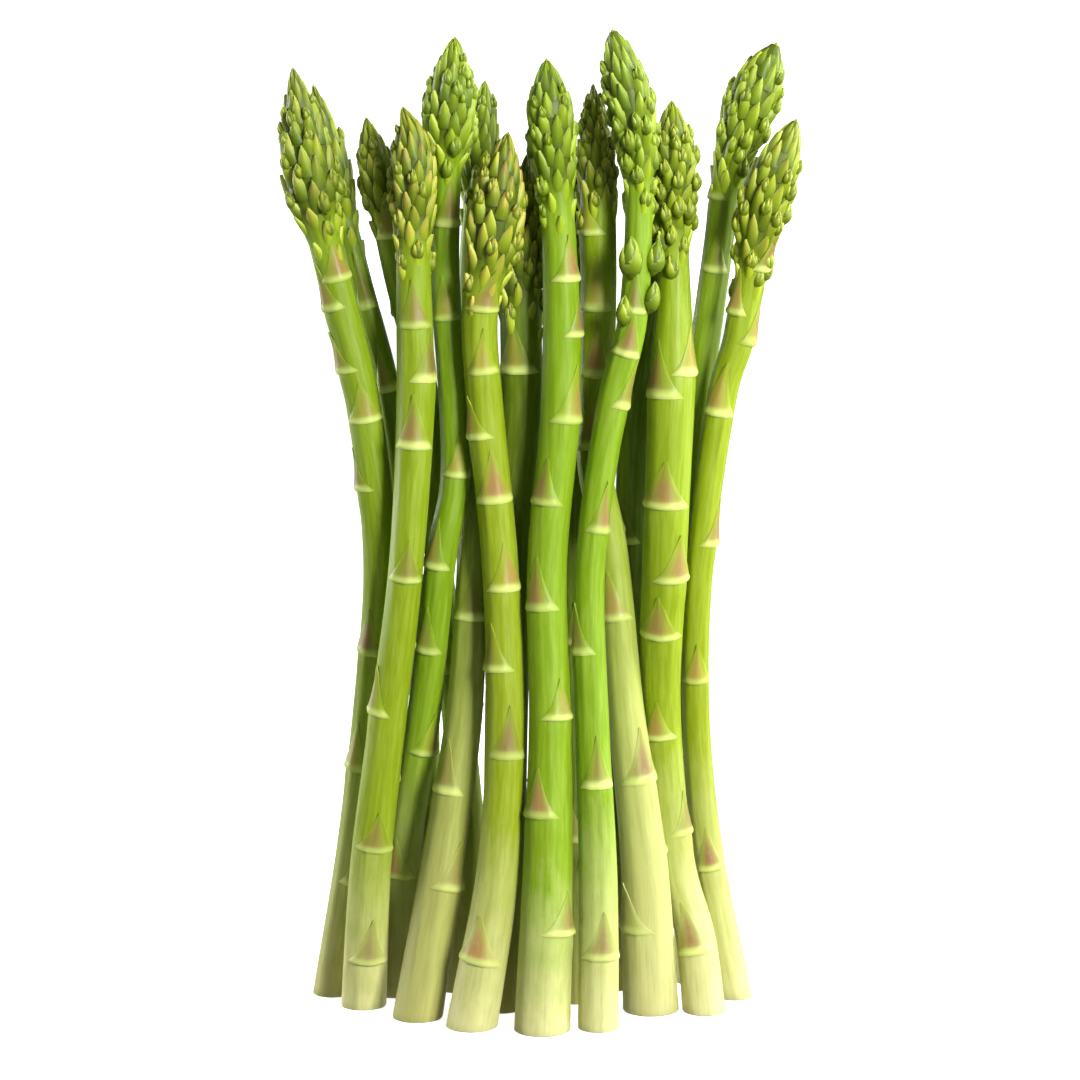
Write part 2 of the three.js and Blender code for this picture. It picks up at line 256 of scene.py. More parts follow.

# line: centre-line points from the cut end to the tip, [x, y, z].
# girth: stem radius at each of GIRTH_HEIGHTS, then at the foot of the head.
# head: length, largest radius, height of the largest radius as a share of the head, rows of scales.
# leaves: [height of the ledge, direction in degrees: 0 to the front, 90 to the right].
# buds: [height, direction, radius].
# look: shares from 0 to 1, for how loose the head is, how tan its scales are, how yellow the stem is, how
# much the whole spear is darkened (a little of it its own deeper green; on the spears at the back of the
# bundle, which have the larger shares, mostly painted shade), how strong the blush of the scale leaves is,
# the height up to which the stem is pale, and how olive the pale foot is.
SPEARS = [
    {
        "name": "spear_01",
        "line": [
            [-48.5, 14.5, 0], [-43, 10.5, 35], [-38.8, 6.5, 70], [-36.2, 1, 105], [-39.6, -1, 140],
            [-46.2, -2, 170], [-50.4, -2.5, 188], [-54.6, -3, 215.5],
        ],
        "girth": [4.6, 4.2, 4, 3.9, 3.9, 3.7],
        "head": {"length": 38, "radius": 6.4, "peak": 0.3, "rows": 7},
        "leaves": [
            [28, 30], [55, -40], [83, -30], [121, -80], [136.5, 5], [148, -75], [162, -50], [168, 30],
        ],
        "look": {
            "loose": 0.5, "tan": 0.45, "yellow": 0.4, "dark_and_shaded": 0.15,
            "blush": 1.0, "pale": 0.16, "olive": 0.5,
        },
    },
    {
        "name": "spear_02",
        "line": [
            [-28.5, 25, 0], [-27.5, 20, 35], [-26.8, 15, 70], [-30.5, 10, 105], [-33.9, 6, 140],
            [-41.1, 6, 170], [-50.9, 11, 211],
        ],
        "girth": [4, 3.7, 3.4, 3.1, 2.8, 2.5],
        "head": {"length": 33, "radius": 4.1, "peak": 0.4, "rows": 6},
        "leaves": [[40, 160], [142.5, 0], [161, 10]],
        "look": {
            "loose": 0.2, "tan": 0.35, "yellow": 0.3, "dark_and_shaded": 0.3,
            "blush": 0.7, "pale": 0.14, "olive": 0.4,
        },
    },
    {
        "name": "spear_03",
        "line": [
            [-19.5, 18, 0], [-17, 14, 35], [-19.3, 10.5, 70], [-23.3, 8, 105], [-25.5, 6, 140],
            [-32.4, 4.5, 170], [-38.8, 5, 204],
        ],
        "girth": [4.3, 4.2, 3.5, 3, 2.9, 3],
        "head": {"length": 25, "radius": 4.1, "peak": 0.45, "rows": 5},
        "leaves": [[45, 170], [110, 150], [160, -150], [177, 10]],
        "look": {
            "loose": 0.3, "tan": 0.45, "yellow": 0.4, "dark_and_shaded": 0.2,
            "blush": 0.7, "pale": 0.14, "olive": 0.4,
        },
    },
    {
        "name": "spear_04",
        "line": [
            [-40.7, 4, 0], [-38.6, 0, 35], [-34.3, -3.5, 70], [-30, -7.5, 105], [-27.8, -6.5, 140],
            [-28, -6, 170], [-28, -6, 197], [-30.3, -6, 207],
        ],
        "girth": [5.3, 4.7, 4.2, 3.9, 4.4, 3.9],
        "head": {"length": 33, "radius": 5.2, "peak": 0.5, "rows": 7},
        "leaves": [[11.5, 15], [38.5, 17], [70, -60], [101.5, 5], [131, 0], [146, 50], [158, 0]],
        "look": {
            "loose": 0.4, "tan": 0.7, "yellow": 0.5, "dark_and_shaded": 0.02,
            "blush": 1.0, "pale": 0.1, "olive": 0.0,
        },
    },
    {
        "name": "spear_05",
        "line": [
            [-33.7, 14, 0], [-31.6, 8.8, 35], [-26.3, 3, 70], [-22.3, -2.5, 105], [-19.2, -2, 122],
            [-19.3, -1.5, 140], [-21.2, 0, 170], [-20.3, 0, 200], [-18.8, 0, 222],
        ],
        "girth": [4.8, 4.3, 3.9, 3.5, 3.4, 3.2],
        "head": {"length": 29, "radius": 5.9, "peak": 0.35, "rows": 7, "blunt": 0.7},
        "leaves": [[30, -20], [60, 40], [84, -25], [103.5, -35], [124, 15], [159, -10], [180, 20]],
        "look": {
            "loose": 0.5, "tan": 0.1, "yellow": 0.2, "dark_and_shaded": 0.08,
            "blush": 0.9, "pale": 0.14, "olive": 0.4,
        },
    },
    {
        "name": "spear_06",
        "line": [
            [-28, -6, 0], [-22.3, -4, 35], [-17.2, -1.5, 70], [-15.2, 1.4, 105], [-15.3, 6, 122],
            [-16, 7.5, 140], [-15.3, 7.5, 170], [-12.3, 8, 212],
        ],
        "girth": [5.8, 5, 4.3, 3.5, 3.2, 2.9],
        "head": {"length": 28, "radius": 4.4, "peak": 0.45, "rows": 6},
        "leaves": [[30, 45], [51.5, -35], [91, 0], [130, 150]],
        "look": {
            "loose": 0.15, "tan": 0.1, "yellow": 0.35, "dark_and_shaded": 0.12,
            "blush": 0.7, "pale": 0.34, "olive": 0.7,
        },
    },
    {
        "name": "spear_07",
        "line": [
            [-15.5, -13.5, 0], [-9.6, -12, 35], [-7.8, -10, 70], [-9, -7.5, 105], [-12.2, -7, 140],
            [-13.4, -7.5, 160], [-11, -8, 175], [-7, -8, 201.5],
        ],
        "girth": [6, 4.9, 4.4, 4.2, 4.1, 4],
        "head": {"length": 35, "radius": 6.5, "peak": 0.42, "rows": 7},
        "leaves": [
            [14.8, -25], [61.5, 15], [81, -40], [99, 25], [119, 10], [133.5, -60], [148, 10], [162, 20],
        ],
        "look": {
            "loose": 0.45, "tan": 0.95, "yellow": 0.6, "dark_and_shaded": 0.0,
            "blush": 1.0, "pale": 0.12, "olive": 0.0,
        },
    },
    {
        "name": "spear_08",
        "line": [
            [0.5, -16.5, 0], [1.7, -14, 35], [2.2, -11.5, 70], [1.6, -9, 105], [4.5, -7.5, 140],
            [4.3, -6.5, 175], [1.4, -6, 217.5],
        ],
        "girth": [6.6, 5.8, 4.8, 4.5, 4.4, 3.7],
        "head": {"length": 33, "radius": 5.4, "peak": 0.58, "rows": 7},
        "leaves": [
            [22, 50], [48.5, -35], [70.5, 35], [95, -30], [118.5, -33], [137, 45], [156, 70],
            [168.3, 40],
        ],
        "look": {
            "loose": 0.35, "tan": 0.02, "yellow": 0.22, "dark_and_shaded": 0.0,
            "blush": 1.0, "pale": 0.08, "olive": 0.0,
        },
    },
    {
        "name": "spear_09",
        "line": [
            [-8.6, 1, 0], [-8.2, 3, 35], [-7.6, 4, 70], [-6.6, 3, 105], [-4.3, 3, 140], [-4.3, 3, 165],
            [-2.8, 3.5, 196],
        ],
        "girth": [4.8, 4.9, 5, 4.8, 4.8, 4.7],
        "head": {"length": 36, "radius": 5.3, "peak": 0.4, "rows": 7},
        "leaves": [[30, 170], [75, -170], [110, 150], [147, -20]],
        "look": {
            "loose": 0.5, "tan": 0.5, "yellow": 0.4, "dark_and_shaded": 0.5,
            "blush": 0.5, "pale": 0.1, "olive": 0.6,
        },
    },
    {
        "name": "spear_10",
        "line": [
            [13.2, -15, 0], [13.1, -13, 35], [11.7, -11, 70], [11.2, -9, 105], [15.8, -8, 140],
            [20.5, -8, 160], [21.8, -8, 186], [20.6, -8.5, 204], [15.8, -9, 224],
        ],
        "girth": [4.7, 4.4, 3.8, 3.4, 3.5, 3],
        "head": {"length": 36, "radius": 5.1, "peak": 0.55, "rows": 7, "blunt": 0.55},
        "leaves": [[16, 20], [55, 15], [85, -60], [112.5, 35], [140.5, 60], [152, 0], [161.5, -5]],
        "buds": [[174, -20, 2.9], [174, 75, 2.4], [165.5, 65, 2.2], [162, -30, 2.1]],
        "look": {
            "loose": 0.8, "tan": 0.15, "yellow": 0.2, "dark_and_shaded": 0.02,
            "blush": 0.9, "pale": 0.12, "olive": 0.0,
        },
    },
    {
        "name": "spear_11",
        "line": [
            [25.5, 0, 0], [23.7, -3, 35], [19.5, -2, 70], [16.3, 0.5, 105], [12.4, 2, 125],
            [12.4, 3, 140], [13.1, 3, 170], [11.8, 3, 211.5],
        ],
        "girth": [6.5, 5.4, 4.2, 3.8, 4.1, 4.2],
        "head": {"length": 29, "radius": 4.3, "peak": 0.3, "rows": 6},
        "leaves": [[20, -60], [54, 40], [91, -20], [129.5, -10], [146, 0], [161, -15], [178, -40]],
        "look": {
            "loose": 0.6, "tan": 0.6, "yellow": 0.5, "dark_and_shaded": 0.0,
            "blush": 0.9, "pale": 0.3, "olive": 0.2,
        },
    },
    {
        "name": "spear_12",
        "line": [
            [37.7, -1, 0], [35.6, 2, 17], [31, 4.8, 35], [27.5, 3.3, 70], [28, -3, 105],
            [29.2, -3.5, 140], [29.8, -1.5, 170], [29.2, 0, 208],
        ],
        "girth": [5, 4.2, 4.7, 5.2, 5.4, 3.3],
        "head": {"length": 34, "radius": 5.5, "peak": 0.55, "rows": 7},
        "leaves": [
            [13, -10], [40, 60], [63.5, -15], [88, -10], [101, 40], [117.5, -15], [142, -40], [147, 60],
        ],
        "buds": [[190, 60, 1.3], [188, -30, 1.3], [184, 38, 1.5], [181, 100, 1.2], [178, -10, 1.2]],
        "look": {
            "loose": 1.0, "tan": 0.35, "yellow": 0.5, "dark_and_shaded": 0.0,
            "blush": 1.0, "pale": 0.16, "olive": 0.0,
        },
    },
    {
        "name": "spear_13",
        "line": [
            [45.3, 11.5, 0], [38.8, 10.5, 35], [35.6, 7, 70], [36.2, 1.5, 105], [40.6, 1, 140],
            [44.4, 0.5, 155], [47.1, 0, 170], [50, -1, 186], [56.8, -2, 204],
        ],
        "girth": [4.2, 3.6, 3.2, 3.2, 3.4, 3.3],
        "head": {"length": 35, "radius": 5.7, "peak": 0.5, "rows": 7, "blunt": 0.65},
        "leaves": [[31, 0], [76, 10], [108, 75], [137.5, -15], [154, 80], [160, -50], [170.5, 65]],
        "look": {
            "loose": 0.8, "tan": 0.45, "yellow": 0.6, "dark_and_shaded": 0.0,
            "blush": 1.0, "pale": 0.16, "olive": 0.0,
        },
    },
    {
        "name": "spear_14",
        "line": [
            [36, 25, 0], [35, 20, 35], [34, 14.5, 70], [33.5, 9.5, 105], [35.8, 8, 140],
            [39.5, 8.5, 170], [42.3, 9, 190], [46.5, 9, 205], [52.9, 9, 220.5],
        ],
        "girth": [4.4, 4, 3.6, 3.3, 3.4, 3.3],
        "head": {"length": 32, "radius": 6, "peak": 0.55, "rows": 7, "blunt": 0.6},
        "leaves": [[35, 150], [80, 120], [125, 160], [169, -10], [185, -80]],
        "look": {
            "loose": 0.6, "tan": 0.2, "yellow": 0.3, "dark_and_shaded": 0.12,
            "blush": 0.7, "pale": 0.12, "olive": 0.3,
        },
    },
    {
        "name": "spear_15",
        "line": [
            [18, 20, 0], [19, 14, 35], [19.6, 9.9, 70], [20.2, 8.4, 105], [21.7, 7.4, 140],
            [25.6, 8.5, 170], [27, 10.5, 196],
        ],
        "girth": [4.4, 4, 3.7, 3.5, 3.4, 3],
        "head": {"length": 30, "radius": 4.6, "peak": 0.45, "rows": 6},
        "leaves": [[40, 170], [85, 150], [130, 170]],
        "look": {
            "loose": 0.4, "tan": 0.2, "yellow": 0.3, "dark_and_shaded": 0.5,
            "blush": 0.5, "pale": 0.12, "olive": 0.5,
        },
    },
    {
        "name": "spear_16",
        "line": [
            [8, 8, 0], [8, 8.5, 35], [7.8, 9, 70], [7.5, 9.5, 105], [7.8, 11, 140], [8.3, 12, 170],
            [8.5, 12.5, 194],
        ],
        "girth": [4.2, 3.9, 3.6, 3.5, 3.2, 3],
        "head": {"length": 29, "radius": 4.2, "peak": 0.4, "rows": 6},
        "leaves": [[38, -20], [84, 10], [128, 140], [158, -160]],
        "look": {
            "loose": 0.4, "tan": 0.2, "yellow": 0.3, "dark_and_shaded": 0.65,
            "blush": 0.5, "pale": 0.12, "olive": 0.5,
        },
    },
]

# A repeatable draw: the far digits of a large sine
DRAW_STEP = 12.9898
DRAW_START = 4.1
DRAW_SPREAD = 43758.5453

# Marks painted on every point, which the materials read. The shade mark is painted shade on the core that
# shows between the scales of a head or bud, and on the overlapped feet of the head's scales, partly their own
# deeper green.
MARKS = ("height", "leaf", "rim", "blush", "margin", "shade", "variety", "cut")


def draw(number):
    """A repeatable number from 0 to 1."""
    value = math.sin(number * DRAW_STEP + DRAW_START) * DRAW_SPREAD
    return value - math.floor(value)


def smoothstep(value, low, high):
    """0 up to low, 1 from high on, smooth between them. It falls instead when low is the larger."""
    share = np.clip((value - low) / (high - low), 0, 1)
    return share * share * (3 - 2 * share)


def hump(value, middle, reach):
    """1 at the middle, falling smoothly to nothing on both sides."""
    return np.exp(-(((value - middle) / reach) ** 2))


def unit(vectors):
    return vectors / np.linalg.norm(vectors, axis=-1, keepdims=True)


class Axis:
    """A line with a skin round it. Directions are in radians: 0 to the front, a quarter turn to the right."""

    def sides_at(self, height):
        """Point on the line, and the directions up along it, to its front and to its right."""
        point, up = self.line_at(height)
        front = unit(np.array([0.0, -1.0, 0.0]) + up * up[..., 1:2])
        return point, up, front, np.cross(up, front)

    def place(self, turn, distance, height):
        """Points at a direction and distance from the line, at a height along it."""
        turn, distance, height = np.broadcast_arrays(turn, distance, height)
        point, up, front, right = self.sides_at(height)
        offset = front * (distance * np.cos(turn))[..., None] + right * (distance * np.sin(turn))[..., None]
        flatten = np.clip(1 - height / CUT_BLEND, 0, 1) if self.is_cut else np.zeros_like(height)
        return point + offset - up * (offset[..., 2] * flatten / up[..., 2])[..., None]


class Spear(Axis):
    """One spear: its bent centre-line, its girth, its nodes and the outline of its head."""

    is_cut = True

    def __init__(self, number, facts):
        self.number = number
        self.facts = facts
        self.head = facts["head"]
        self.top = facts["line"][-1][2]
        self.neck = self.top - self.head["length"]
        self.samples = self.sample_line(np.array(facts["line"], float) - [0, CENTRE_Y, 0])
        self.leaves = facts["leaves"] + self.hidden_leaves()

    def sample_line(self, points):
        """Smooth curve through the points: heights, places and directions."""
        ends = [2 * points[0] - points[1]], [2 * points[-1] - points[-2]]
        padded = np.concatenate([ends[0], points, ends[1]])
        share = np.linspace(0, 1, LINE_SAMPLES, endpoint=False)[:, None]
        places = []
        for before, start, end, after in zip(padded, padded[1:], padded[2:], padded[3:]):
            leave = (end - before) / 2
            arrive = (after - start) / 2
            square = -3 * start + 3 * end - 2 * leave - arrive
            cube = 2 * start - 2 * end + leave + arrive
            places.append(start + leave * share + square * share**2 + cube * share**3)
        places = np.concatenate([*places, points[-1:]])
        return places[:, 2], places, unit(np.gradient(places, axis=0))

    def line_at(self, height):
        heights, places, directions = self.samples
        inside = np.clip(height, 0, self.top)
        point = np.stack([np.interp(inside, heights, places[:, k]) for k in range(3)], -1)
        up = unit(np.stack([np.interp(inside, heights, directions[:, k]) for k in range(3)], -1))
        return point, up

    def stem_radius(self, height):
        heights = [z for z in GIRTH_HEIGHTS if z < self.neck - NECK_CLEAR] + [self.neck]
        radii = self.facts["girth"][: len(heights) - 1] + [self.facts["girth"][-1]]
        nearby = [np.interp(height + step, heights, radii) for step in (-GIRTH_BLEND, 0, GIRTH_BLEND)]
        return (nearby[0] + 2 * nearby[1] + nearby[2]) / 4

    def head_radius(self, share):
        radius, peak = self.head["radius"], self.head["peak"]
        neck = self.facts["girth"][-1]
        low = neck + (radius - neck) * smoothstep(share, NECK_BLEND * peak, peak)
        fall = np.clip((1 - share) / (1 - peak), 0, 1)
        blunt = self.head.get("blunt", POINTED)
        high = np.maximum(radius * np.sin(math.pi / 2 * fall) ** blunt, TIP_RADIUS)
        return np.where(share < peak, low, high)

    def radius_at(self, height):
        share = (height - self.neck) / self.head["length"]
        return np.where(height >= self.neck, self.head_radius(share), self.stem_radius(height))

    def skin(self, turn, height):
        """Distance from the line to the skin: oval and fluted, swollen and ridged under the leaves."""
        turn, height = np.broadcast_arrays(turn, height)
        radius = self.radius_at(height) * FULLNESS
        radius = radius * (1 + OVAL * np.sin(2 * turn + self.number + height / OVAL_TWIST))
        sway = FLUTE_SWAY * np.sin(height / FLUTE_WAVE + self.number)
        radius = radius + FLUTE_DEPTH * np.sin(FLUTES * turn + sway)
        for ledge, direction in self.leaves:
            off = (turn - math.radians(direction) + math.pi) % (2 * math.pi) - math.pi
            swell = NODE_SWELL * hump(height, ledge - NODE_DROP, NODE_REACH)
            radius = radius + swell * hump(off, 0, NODE_SPREAD)
            below = smoothstep(height, ledge - RIDGE_REACH, ledge) * (height < ledge + NODE_DROP)
            side = math.radians(RIDGE_TURN)
            ridges = hump(off, side, RIDGE_SPREAD) + hump(off, -side, RIDGE_SPREAD)
            radius = radius + RIDGE_HEIGHT * below * ridges
        return radius

    def hidden_leaves(self):
        """Every other scale leaf grows on the side turned away, one in each long bare stretch."""
        leaves = self.facts["leaves"]
        added = []
        for i, ((low, low_turn), (high, high_turn)) in enumerate(zip(leaves, leaves[1:])):
            if high - low > BACK_GAP:
                scatter = (draw(low + LEAF_DRAWS * i) - 0.5) * BACK_SCATTER
                added.append([(low + high) / 2, (low_turn + high_turn) / 2 + 180 + scatter])
        return added


class Bud(Axis):
    """A small pointed bud that grows from the axil of a scale."""

    is_cut = False

    def __init__(self, spear, height, turn, radius, lean, out_share=BUD_OUT):
        self.radius = radius
        self.length = 2 * BUD_STRETCH * radius
        self.top = self.length
        foot = height - BUD_STRETCH * radius
        out = float(spear.radius_at(np.array(height))) + radius * out_share
        self.foot = spear.place(turn, out, foot)
        middle, up = spear.line_at(np.array(height))
        outward = unit(spear.place(turn, out, height) - middle)
        self.up = unit(up + outward * lean)

    def line_at(self, height):
        return self.foot + self.up * height[..., None], np.broadcast_to(self.up, height.shape + (3,))

    def radius_at(self, height):
        share = np.clip(height / self.length, 0, 1)
        return self.radius * np.maximum(np.sin(math.pi * share**BUD_FORM) ** BUD_BLUNT, BUD_LEAST)


class Skin:
    """Collects the points, faces and marks of one mesh."""

    def __init__(self):
        self.points = []
        self.marks = []
        self.grain = []
        self.faces = []
        self.size = 0

    def add_points(self, points, grain, **marks):
        """Adds a block of points with their marks and gives back their numbers in the same layout."""
        layout = points.shape[:-1]
        numbers = self.size + np.arange(points[..., 0].size).reshape(layout)
        self.size += points[..., 0].size
        self.points.append(points.reshape(-1, 3))
        self.grain.append(np.broadcast_to(grain, points.shape).reshape(-1, 3))
        values = [np.broadcast_to(marks.get(name, 0.0), layout).reshape(-1) for name in MARKS]
        self.marks.append(np.stack(values, -1))
        return numbers

    def add_quads(self, numbers):
        """Faces between the neighbouring rows and columns of a block."""
        corners = [numbers[:-1, :-1], numbers[:-1, 1:], numbers[1:, 1:], numbers[1:, :-1]]
        self.faces += np.stack(corners, -1).reshape(-1, 4).tolist()

    def add_fan(self, ring, centre):
        """Faces from a closed ring of points to one point."""
        for a, b in zip(ring, np.roll(ring, -1)):
            self.faces.append([int(a), int(b), int(centre)])

    def add_tube(self, points, grain, **marks):
        """Rings of points joined into a tube, with each end closed by a fan to the middle of its ring."""
        numbers = self.add_points(points, grain, **marks)
        self.add_quads(np.concatenate([numbers, numbers[:, :1]], 1))
        ends = np.stack([points[0].mean(0), points[-1].mean(0)])
        end_marks = {}
        for name, value in marks.items():
            end_marks[name] = np.broadcast_to(value, points.shape[:-1])[[0, -1], 0]
        end_grain = np.broadcast_to(grain, points.shape)[[0, -1], 0]
        middles = self.add_points(ends, end_grain, **end_marks)
        self.add_fan(numbers[0][::-1], middles[0])
        self.add_fan(numbers[-1], middles[1])

    def add_shell(self, outer, inner, grain, **marks):
        """A closed leaf: an outer and an inner block of points joined along all four edges."""
        loop = np.concatenate([outer, inner[:, ::-1]], 1)
        both = {}
        for name, value in marks.items():
            value = np.broadcast_to(value, outer.shape[:-1])
            both[name] = np.concatenate([value, value[:, ::-1]], 1)
        grain = np.broadcast_to(grain, outer.shape)
        numbers = self.add_points(loop, np.concatenate([grain, grain[:, ::-1]], 1), **both)
        self.add_quads(np.concatenate([numbers, numbers[:, :1]], 1))
        half = outer.shape[1]
        for row, turned in ((0, True), (-1, False)):
            strip = np.stack([numbers[row, :half], numbers[row, half:][::-1]])
            self.add_quads(strip if turned else strip[::-1])

    def make_object(self, name):
        mesh = bpy.data.meshes.new(name)
        points = np.concatenate(self.points) * MM
        mesh.from_pydata(points.tolist(), [], self.faces)
        marks = np.concatenate(self.marks)
        for column, mark in enumerate(MARKS):
            layer = mesh.attributes.new(mark, "FLOAT", "POINT")
            layer.data.foreach_set("value", marks[:, column].astype(np.float32))
        layer = mesh.attributes.new("grain", "FLOAT_VECTOR", "POINT")
        layer.data.foreach_set("vector", np.concatenate(self.grain).astype(np.float32).reshape(-1))
        mesh.validate()
        mesh.shade_smooth()
        mesh.set_sharp_from_angle(angle=math.radians(SHARP_ANGLE))
        made = bpy.data.objects.new(name, mesh)
        bpy.context.scene.collection.objects.link(made)
        return made


def add_stem(skin, spear):
    """The stem with its cut end. It goes on inside the head as the core that carries the scales."""
    top = spear.top - CORE_SHORT
    heights = np.linspace(0, top, int(top / STEM_STEP) + 1)
    heights = np.concatenate([[0, CUT_ROUNDING * CUT_RING_AT, CUT_ROUNDING], heights[1:]])[:, None]
    turn = np.linspace(0, 2 * math.pi, STEM_SIDES, endpoint=False)[None, :]
    thin_from = spear.neck - CORE_BELOW_NECK
    inside = smoothstep(heights, thin_from, spear.neck + CORE_THIN_BY * spear.head["length"])
    below = np.clip(1 - heights / CUT_ROUNDING, 0, 1)
    inset = CUT_ROUNDING * (1 - np.sqrt(1 - below**2))
    radius = spear.skin(turn, heights) * (1 - (1 - CORE_SHARE) * inside) - inset
    shares = np.linspace(0, 1, CUT_RINGS, endpoint=False)[1:, None]
    cut = spear.place(turn, radius[:1] * shares, np.zeros_like(shares))
    cut[..., 2] += CUT_HOLLOW * (1 - shares) ** CUT_HOLLOW_FORM
    points = np.concatenate([cut, spear.place(turn, radius, heights)])
    all_heights = np.concatenate([np.zeros_like(shares), heights])
    all_radii = np.concatenate([radius[:1] * shares, radius])
    lengthwise = all_heights * GRAIN_STRETCH + 0 * turn + GRAIN_SHIFT * spear.number
    grain = np.stack([all_radii * np.cos(turn), all_radii * np.sin(turn), lengthwise], -1)
    rim = np.array([[1.0], [CUT_RIM_MARK]])
    on_cut = np.concatenate([np.ones_like(shares), rim, np.zeros_like(heights[2:])])
    all_inside = np.concatenate([np.zeros_like(shares), inside])
    skin.add_tube(
        points,
        grain,
        height=all_heights / spear.top,
        leaf=HEAD_GREEN * all_inside,
        # The core inside the head shows only in the gaps between the scales, so it gets painted shade.
        shade=all_inside,
        variety=draw(spear.number),
        cut=on_cut,
    )


def leaf_grain(along, across, number, rates):
    """Where the grain of a leaf or scale is read: across it, on from leaf to leaf, and along it."""
    level = 0 * (along + across)
    return np.stack([across * rates[0] + level, rates[1] * number + level, along * rates[2] + level], -1)


def add_stem_leaf(skin, spear, ledge, direction, number):
    """A triangular scale leaf pressed to the stem: a ledge that clasps half the stem, then a fine point."""
    rng = np.random.default_rng(LEAF_SEED * spear.number + number)
    size, lift, strength, bend, lean = (rng.uniform(*LEAF_VARIES[name]) for name in LEAF_VARIES)
    strength = strength * spear.facts["look"]["blush"]
    clasping, ledge_depth, ledge_glow = (rng.uniform(*LEDGE_VARIES[name]) for name in LEDGE_VARIES)
    along = (np.linspace(0, 1, LEAF_ROWS) ** LEAF_CROWDING)[:, None]
    across = np.linspace(-1, 1, LEAF_COLUMNS)[None, :]
    clasp = LEAF_CLASP * (1 - along) ** LEAF_CLASP_FALL + (1 - LEAF_CLASP) * (1 - along) ** LEAF_TAPER
    half = math.radians(LEAF_SPAN * clasping) * np.maximum(clasp, LEAF_POINT)
    turn = math.radians(direction) + across * half + bend * along**2
    height = ledge + along * LEAF_LENGTH * size + LEAF_CURL * across**2 * (1 - along) ** 2
    surface = spear.skin(turn, height)
    ledge_form = smoothstep(along, *LEDGE_RISES) * (1 - along) ** LEDGE_FALL * (1 - LEDGE_THINS * across**4)
    keel = LEAF_KEEL * hump(across, 0, LEAF_KEEL_SPREAD) * (1 - along)
    rise = LEAF_SKIN + LEAF_LEDGE * ledge_depth * ledge_form + keel + lift * smoothstep(along, *LEAF_LIFTS)
    outer_distance = surface + rise
    free = smoothstep(along, *LEAF_FREE)
    inner_distance = (surface - LEAF_ROOT) * (1 - free) + (outer_distance - LEAF_THICKNESS) * free
    outer = spear.place(turn, outer_distance, height)
    inner = spear.place(turn, inner_distance, height)
    grain = leaf_grain(along, across, number, LEAF_GRAIN)
    middle = hump(across, lean, BLUSH_SPREAD)
    edge = smoothstep(np.abs(across), LEAF_EDGE_FROM, 1)
    fading = smoothstep(along, *BLUSH_BEGINS) * (1 - BLUSH_LOST * smoothstep(along, *BLUSH_FADES))
    skin.add_shell(
        outer,
        inner,
        grain,
        height=height / spear.top,
        leaf=LEAF_GREEN * smoothstep(along, *LEAF_GREENS) * (1 - edge),
        rim=ledge_glow * smoothstep(along, *RIM_FADES) * (1 - RIM_LOST * across**4),
        blush=strength * fading * middle,
        margin=LEAF_MARGIN * edge * smoothstep(along, *MARGIN_BEGINS),
        variety=rng.uniform(),
    )


def add_scale(skin, axis, foot, tip, direction, span, lift, bulge, look):
    """A pointed scale that hugs a head or a bud, keeled in the middle and pressed down along its edges."""
    along = np.linspace(0, 1, look["rows"])[:, None]
    across = np.linspace(-1, 1, look["columns"])[None, :]
    half = math.radians(span) * np.maximum(1 - along**SCALE_TAPER, SCALE_POINT)
    turn = math.radians(direction) + across * half
    height = foot + along * (tip - foot) + look["arch"] * across**2 * (1 - along)
    surface = axis.radius_at(height)
    sunk = -look["sink"] * (1 - along) ** 2
    keel_form = KEEL_FOOT + (1 - KEEL_FOOT) * np.sin(math.pi * along**KEEL_FORM)
    keel = -look["keel"] * across**2 * keel_form
    swell = bulge * hump(along, SWELL_AT, SWELL_REACH) * (1 - across**2)
    point = lift * smoothstep(along, *POINT_LIFTS)
    gathered = TIP_CLOSED + (1 - TIP_CLOSED) * smoothstep(axis.top - height, 0, TIP_GATHER * surface)
    outer_distance = np.maximum((surface + sunk + keel + swell + point) * gathered, LEAST_OUTER)
    inner_distance = np.maximum(outer_distance - look["thickness"], LEAST_INNER)
    outer = axis.place(turn, outer_distance, height)
    inner = axis.place(turn, inner_distance, height)
    grain = leaf_grain(along, across, look["number"], SCALE_GRAIN)
    edge = smoothstep(np.abs(across), SCALE_EDGE_FROM, 1)
    skin.add_shell(
        outer,
        inner,
        grain,
        height=1.0,
        leaf=HEAD_GREEN,
        blush=look["blush"] * smoothstep(along, *TIP_BLUSHES) * (1 - EDGE_BLUSH_LOST * edge),
        margin=edge * smoothstep(along, *SCALE_MARGIN),
        # Painted shade at the overlapped foot of the scale, partly its own deeper green
        shade=look["shade"] * (1 - along) ** SHADE_FALL,
        variety=look["variety"],
    )


def scale_look(size, number, tan, rng):
    """How finely a scale is drawn, how it sits and what marks it gets."""
    on_head = size == HEAD_SCALE_SIZE
    rows, columns = (SCALE_ROWS, SCALE_COLUMNS) if on_head else (BUD_ROWS, BUD_COLUMNS)
    return {
        "rows": rows,
        "columns": columns,
        "arch": SCALE_ARCH * size,
        "sink": SCALE_SINK * size,
        "keel": SCALE_KEEL * size,
        "thickness": SCALE_THICKNESS * size,
        "number": number,
        "shade": 1.0,
        "blush": tan * rng.uniform(*SCALE_VARIES["blush"]),
        "variety": rng.uniform(),
    }


